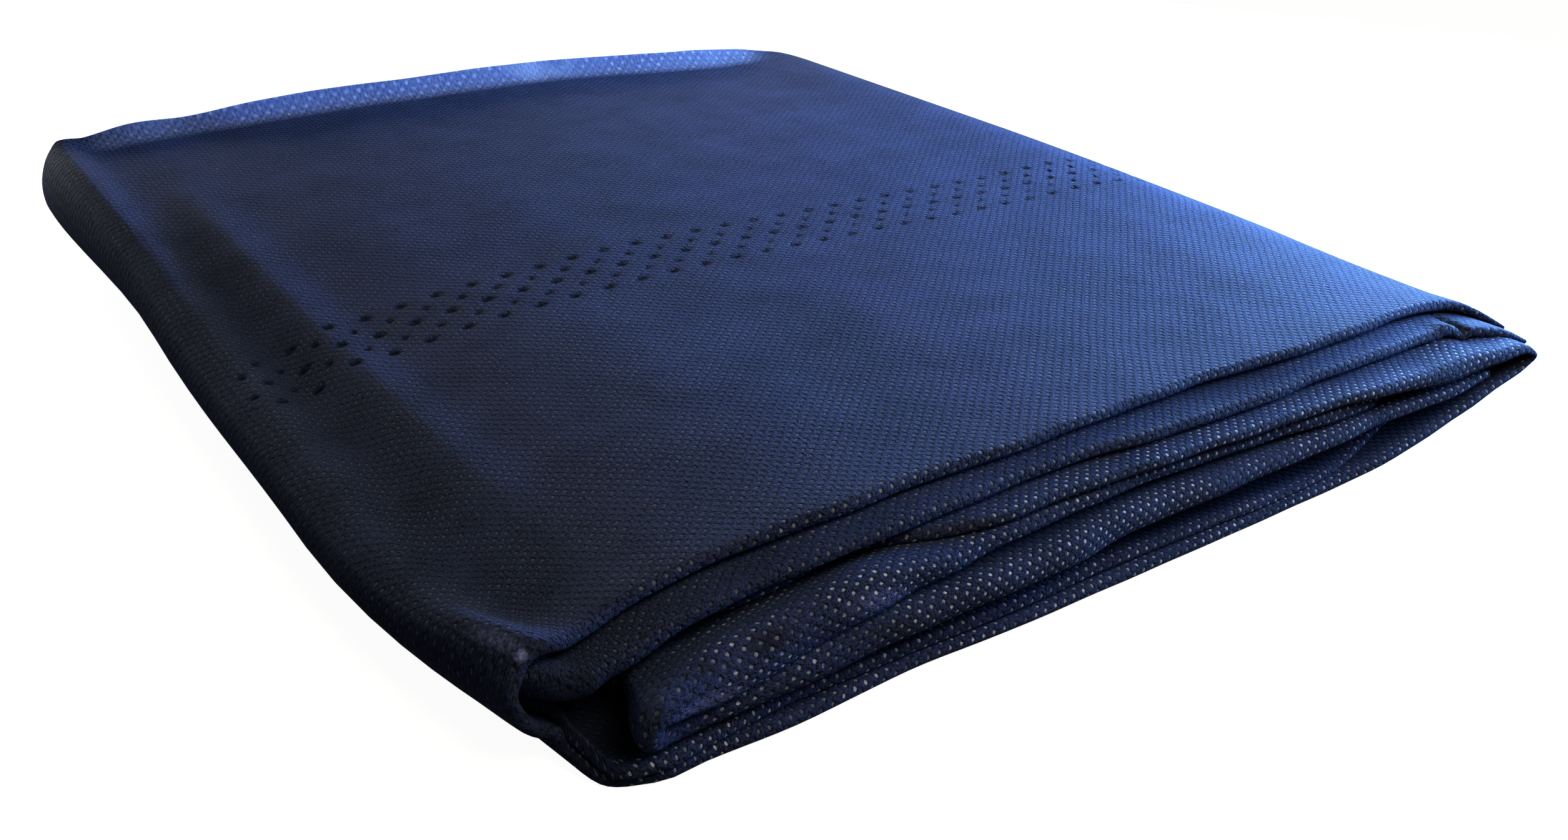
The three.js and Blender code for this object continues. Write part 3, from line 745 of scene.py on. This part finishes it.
class Nodes:
    """Adds shader nodes and links their inputs."""

    def __init__(self, name, settings):
        self.material = bpy.data.materials.new(name)
        self.material.use_nodes = True
        self.tree = self.material.node_tree
        self.shader = self.tree.nodes["Principled BSDF"].inputs
        for key, value in settings.items():
            self.shader[key].default_value = value

    def link(self, value, socket):
        if isinstance(value, bpy.types.NodeSocket):
            self.tree.links.new(value, socket)
        else:
            socket.default_value = value

    def add(self, kind, out=0, inputs=None, **settings):
        node = self.tree.nodes.new(kind)
        for key, value in settings.items():
            setattr(node, key, value)
        for key, value in (inputs or {}).items():
            self.link(value, node.inputs[key])
        return node.outputs[out]

    def parts(self, kind, value):
        """The single channels of a vector or a colour."""
        node = self.tree.nodes.new(kind)
        self.link(value, node.inputs[0])
        return node.outputs

    def math(self, operation, a, b=0.0, c=0.0):
        return self.add("ShaderNodeMath", inputs={0: a, 1: b, 2: c}, operation=operation)

    def sum(self, first, *others):
        for other in others:
            first = self.math("ADD", first, other)
        return first

    def product(self, first, *others):
        for other in others:
            first = self.math("MULTIPLY", first, other)
        return first

    def ramp(self, value, low, high, to_low=0.0, to_high=1.0):
        names = {"Value": value, "From Min": low, "From Max": high, "To Min": to_low, "To Max": to_high}
        return self.add("ShaderNodeMapRange", inputs=names, interpolation_type="SMOOTHSTEP")

    def mix(self, share, a, b):
        inputs = {0: share, 6: a, 7: b}
        return self.add("ShaderNodeMix", out=2, inputs=inputs, data_type="RGBA", blend_type="MIX")

    def noise(self, vector, scale, detail, out=0):
        names = {"Vector": vector, "Scale": scale, "Detail": detail, "Roughness": GRAIN_ROUGHNESS}
        return self.add("ShaderNodeTexNoise", out=out, inputs=names, noise_dimensions="2D")

    def streaks(self, vector, turn, along, wide):
        """Noise that is long one way and short the other, in metres."""
        names = {
            "Vector": vector,
            "Rotation": (0, 0, math.radians(turn)),
            "Scale": (1 / along, 1 / wide, 1),
        }
        return self.noise(self.add("ShaderNodeMapping", inputs=names), 1.0, 2.0)

    def attribute(self, name):
        return self.add("ShaderNodeAttribute", out=2, attribute_name=name)


def spots(nodes, vector, table):
    """Share of the nearest of some soft oval spots of the sheet."""
    total = 0.0
    for row in rows(SPOT_COLUMNS, table):
        names = {
            "Vector": vector,
            "Location": (row["along"] * MM, row["across"] * MM, 0),
            "Rotation": (0, 0, math.radians(row["turn"])),
            "Scale": (row["long"] * MM, row["wide"] * MM, 1),
        }
        inside = nodes.add("ShaderNodeMapping", inputs=names, vector_type="TEXTURE")
        far = nodes.add("ShaderNodeVectorMath", out=1, inputs={0: inside}, operation="LENGTH")
        total = nodes.math("MAXIMUM", total, nodes.ramp(far, 1.0, SPOT_CORE, 0.0, row["share"]))
    return total


def lattice(nodes, vector, pitch_u, pitch_v, wobble):
    """Staggered lattice on the sheet: distance from the nearest dot, in cells, and a random share per dot."""
    along = nodes.parts("ShaderNodeSeparateXYZ", vector)
    shake = nodes.parts("ShaderNodeSeparateColor", nodes.noise(vector, *WOBBLE, out=1))
    u = nodes.product(along[0], 1 / pitch_u)
    v = nodes.product(along[1], 1 / pitch_v)
    sides = []
    cell = nodes.tree.nodes.new("ShaderNodeCombineXYZ")
    for n, operation in enumerate(("ADD", "SUBTRACT")):
        moved = nodes.math("MULTIPLY_ADD", shake[n], wobble, nodes.math(operation, u, v))
        nodes.link(nodes.math("FLOOR", moved), cell.inputs[n])
        sides.append(nodes.math("ABSOLUTE", nodes.math("SUBTRACT", nodes.math("FRACT", moved), 0.5)))
    chance = nodes.add("ShaderNodeTexWhiteNoise", inputs={"Vector": cell.outputs[0]}, noise_dimensions="2D")
    round_far = nodes.math("SQRT", nodes.sum(*(nodes.product(side, side) for side in sides)))
    far = nodes.product(nodes.sum(round_far, nodes.math("MAXIMUM", *sides)), 0.5)
    return far, chance


def nonwoven():
    """Navy point-bonded web: fibres, bond dots with painted glints, pits and folds with painted shade, and
    the sheer free edge painted as if lit from behind.
    """
    nodes = Nodes("nonwoven", SHEET_SHADER)
    uv = nodes.add("ShaderNodeUVMap", uv_map="sheet")
    pit, sheer, dot_glint, inside = (nodes.attribute(mark) for mark in MARKS)
    fibre = nodes.product(nodes.sum(*(nodes.streaks(uv, *row) for row in FIBRES)), 0.5)
    hair = nodes.math("MAXIMUM", *(nodes.streaks(uv, *row) for row in HAIRS))
    fuzz = nodes.noise(uv, *FUZZ)
    cloud = nodes.noise(uv, *CLOUD)
    patch = nodes.ramp(nodes.noise(uv, *PATCH), *PATCH_RANGE, PATCH_LEAST)

    # Bond dots: ragged little spots, each of its own brightness, painted pale as glints of their gloss,
    # strongest near the front folds
    far, chance = lattice(nodes, uv, DOT_PITCH, DOT_PITCH, DOT_WOBBLE)
    ragged = nodes.sum(nodes.math("SUBTRACT", far, DOT_TRIM), nodes.product(fibre, DOT_RAGGED))
    dot = nodes.ramp(ragged, *DOT_EDGE)
    clear = nodes.product(nodes.ramp(chance, 0.0, 1.0, DOT_LEAST), patch)
    dot_glint_share = nodes.product(dot, clear, nodes.ramp(dot_glint, 0.0, 1.0, DOT_GLINT_LEAST))

    # Web: darker and lighter fibres, with stains and painted highlights
    # quilt is low at the dots; its share in the web's lightness paints shade round each dot
    quilt = nodes.ramp(far, *QUILT_RANGE)
    web = nodes.sum(
        nodes.product(fibre, FIBRE_SHARE),
        nodes.product(fuzz, FUZZ_SHARE),
        nodes.product(cloud, CLOUD_SHARE),
        nodes.product(quilt, QUILT_SHADE_SHARE),
        nodes.ramp(hair, *HAIR_RANGE, 0.0, HAIR_SHARE),
    )
    colour = nodes.mix(nodes.ramp(web, *WEB_RANGE), DARK_WEB, LIGHT_WEB)
    # Painted glint: the bond dots mixed towards a pale colour
    colour = nodes.mix(dot_glint_share, colour, DOT_GLINT_COLOUR)
    fluff = nodes.ramp(web, *FLUFF_RANGE, FLUFF_LEAST)
    colour = nodes.mix(nodes.product(spots(nodes, uv, STAINS), fluff), colour, STAIN)
    # Painted highlights
    colour = nodes.mix(nodes.product(spots(nodes, uv, HIGHLIGHT_SPOTS), fluff), colour, PAINTED_HIGHLIGHT)

    # Free edge: painted paler as if lit from behind, with larger staggered marks; light also really passes
    # through it by subsurface scattering
    edge_far, edge_chance = lattice(nodes, uv, *EDGE_PITCH, EDGE_WOBBLE)
    mark = nodes.product(
        nodes.ramp(edge_far, *MARK_EDGE), nodes.ramp(edge_chance, 0.0, 1.0, MARK_LEAST, MARK_MOST)
    )
    edge_cloud = nodes.ramp(nodes.noise(uv, *EDGE_CLOUD), *EDGE_CLOUD_RANGE, 0.0, EDGE_CLOUD_MOST)
    backlit_edge_colour = nodes.mix(nodes.math("MAXIMUM", mark, edge_cloud), BACKLIT_EDGE_WEB, BACKLIT_EDGE_MARK)
    colour = nodes.mix(nodes.product(sheer, nodes.ramp(web, *EDGE_RANGE, EDGE_LEAST)), colour, backlit_edge_colour)
    # Painted shade in the pits
    colour = nodes.mix(pit, colour, PIT_SHADE_COLOUR)
    # Painted shade inside the folds
    colour = nodes.mix(nodes.product(inside, INSIDE_SHADE_SHARE), colour, INSIDE_SHADE_COLOUR)

    height = nodes.sum(fibre, fuzz, nodes.product(quilt, QUILT_RISE))
    relief = {"Height": height, "Strength": RELIEF_STRENGTH, "Distance": RELIEF_HEIGHT}
    nodes.link(colour, nodes.shader["Base Color"])
    nodes.link(sheer, nodes.shader["Subsurface Weight"])
    nodes.link(nodes.add("ShaderNodeBump", inputs=relief), nodes.shader["Normal"])
    return nodes.material


def plan(x, y, z):
    """A place given from the near left corner of the top, in metres."""
    return Vector((x - CENTRE_X, y - CENTRE_Y, z)) * MM


def add_camera():
    """The photograph's own view."""
    data = bpy.data.cameras.new("camera")
    data.sensor_fit = "HORIZONTAL"
    data.sensor_width = SENSOR
    data.lens = LENS
    data.clip_start = NEAREST
    camera = bpy.data.objects.new("camera", data)
    axes = (Vector(CAMERA_RIGHT), -Vector(CAMERA_DOWN), -Vector(CAMERA_AHEAD))
    turn = Matrix(axes).transposed().to_4x4()
    turn.translation = plan(*CAMERA_PLACE)
    camera.matrix_world = turn
    bpy.context.scene.collection.objects.link(camera)
    bpy.context.scene.camera = camera


def add_light(row):
    """One soft light, turned to its aim."""
    data = bpy.data.lights.new(row["name"], "AREA")
    data.shape = "RECTANGLE"
    data.size, data.size_y = row["size"]
    data.energy = row["power"]
    data.color = row["colour"]
    light = bpy.data.objects.new(row["name"], data)
    light.location = plan(*row["place"])
    light.rotation_euler = (plan(*row["aim"]) - light.location).to_track_quat("-Z", "Y").to_euler()
    bpy.context.scene.collection.objects.link(light)


def add_floor():
    """Pale floor that sweeps up far behind."""
    around = [2 * math.pi * n / FLOOR_SIDES for n in range(FLOOR_SIDES)]
    points = [(r * math.cos(a), r * math.sin(a), h) for r, h in FLOOR_RINGS for a in around]
    faces = [tuple(range(FLOOR_SIDES))]
    for ring in range(len(FLOOR_RINGS) - 1):
        for n in range(FLOOR_SIDES):
            low, low_next = ring * FLOOR_SIDES + n, ring * FLOOR_SIDES + (n + 1) % FLOOR_SIDES
            faces.append((low, low + FLOOR_SIDES, low_next + FLOOR_SIDES, low_next))
    mesh = bpy.data.meshes.new("floor")
    mesh.from_pydata(points, [], faces)
    mesh.shade_smooth()
    mesh.materials.append(Nodes("floor", FLOOR_SHADER).material)
    floor = bpy.data.objects.new("floor", mesh)
    floor.location.z = FLOOR_DROP
    floor.visible_diffuse = False
    floor.visible_glossy = False
    bpy.context.scene.collection.objects.link(floor)


def add_stage():
    """Floor, room and soft lights."""
    add_floor()
    world = bpy.data.worlds.new("studio")
    world.use_nodes = True
    room = world.node_tree.nodes["Background"].inputs
    room["Color"].default_value = ROOM_COLOUR
    room["Strength"].default_value = ROOM_POWER
    bpy.context.scene.world = world
    for row in rows(LIGHT_COLUMNS, LIGHTS):
        add_light(row)


add_camera()
blanket = build_blanket()
blanket.data.materials.append(nonwoven())
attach(blanket, "root")
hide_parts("blanket")
add_stage()
bpy.context.scene.view_settings.view_transform = "Standard"
